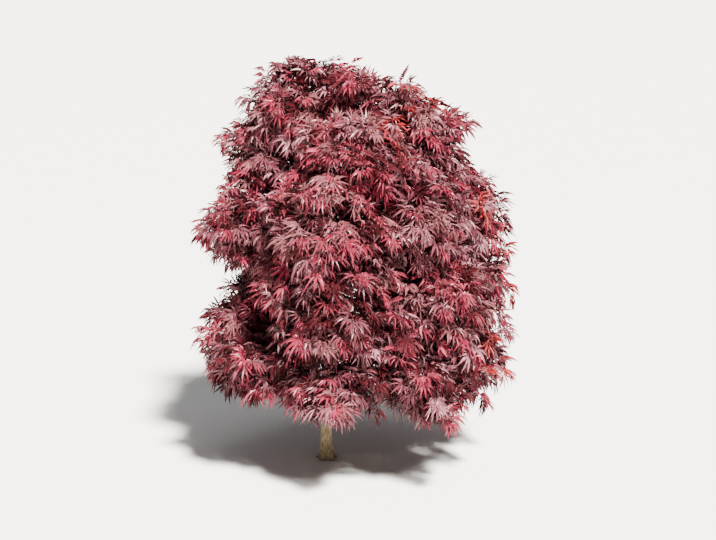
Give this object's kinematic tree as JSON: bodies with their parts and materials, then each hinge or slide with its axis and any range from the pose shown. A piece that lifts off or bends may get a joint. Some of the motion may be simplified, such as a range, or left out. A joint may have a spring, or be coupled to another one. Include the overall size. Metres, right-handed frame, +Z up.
{
  "type": "japanese maple shrub",
  "caption": "Dwarf weeping maple rooted in the ground: a short trunk, upright boughs and a dense domed crown of finely cut purple-red leaves in drooping pads.",
  "frame": {"origin": "middle of the flat cut under the trunk, at ground level", "axes": "+Z up along the trunk; the front, from which the plant is seen, is -Y, and +X is to the right of it"},
  "size_m": [0.8418, 0.8554, 1.0277],
  "materials": {
    "bark": "furrowed grey-brown bark, matt",
    "foliage": "purple-red leaves with a soft grey-pink sheen"
  },
  "bodies": {
    "root": {"trunk": "bark", "bough_middle_back": "bark", "bough_middle_back_left": "bark", "bough_middle_front": "bark", "bough_middle_front_right": "bark", "bough_middle_left": "bark", "bough_middle_right": "bark", "bough_shoulder_back": "bark", "bough_shoulder_back_right": "bark", "bough_shoulder_front": "bark", "bough_shoulder_left": "bark", "bough_shoulder_right": "bark", "bough_skirt_back": "bark", "bough_skirt_back_left": "bark", "bough_skirt_back_right": "bark", "bough_skirt_front": "bark", "bough_skirt_front_right": "bark", "bough_skirt_left": "bark", "bough_skirt_right": "bark", "bough_top_left": "bark", "bough_top_right": "bark", "bough_upper_back": "bark", "bough_upper_back_left": "bark", "bough_upper_back_right": "bark", "bough_upper_front": "bark", "bough_upper_front_right": "bark", "bough_upper_left": "bark", "bough_upper_right": "bark", "foliage_middle_back": "foliage", "foliage_middle_back_left": "foliage", "foliage_middle_front": "foliage", "foliage_middle_front_right": "foliage", "foliage_middle_left": "foliage", "foliage_middle_right": "foliage", "foliage_shoulder_back": "foliage", "foliage_shoulder_back_right": "foliage", "foliage_shoulder_front": "foliage", "foliage_shoulder_left": "foliage", "foliage_shoulder_right": "foliage", "foliage_skirt_back": "foliage", "foliage_skirt_back_left": "foliage", "foliage_skirt_back_right": "foliage", "foliage_skirt_front": "foliage", "foliage_skirt_front_right": "foliage", "foliage_skirt_left": "foliage", "foliage_skirt_right": "foliage", "foliage_top_left": "foliage", "foliage_top_right": "foliage", "foliage_upper_back": "foliage", "foliage_upper_back_left": "foliage", "foliage_upper_back_right": "foliage", "foliage_upper_front": "foliage", "foliage_upper_front_right": "foliage", "foliage_upper_left": "foliage", "foliage_upper_right": "foliage"}
  },
  "joints": []
}
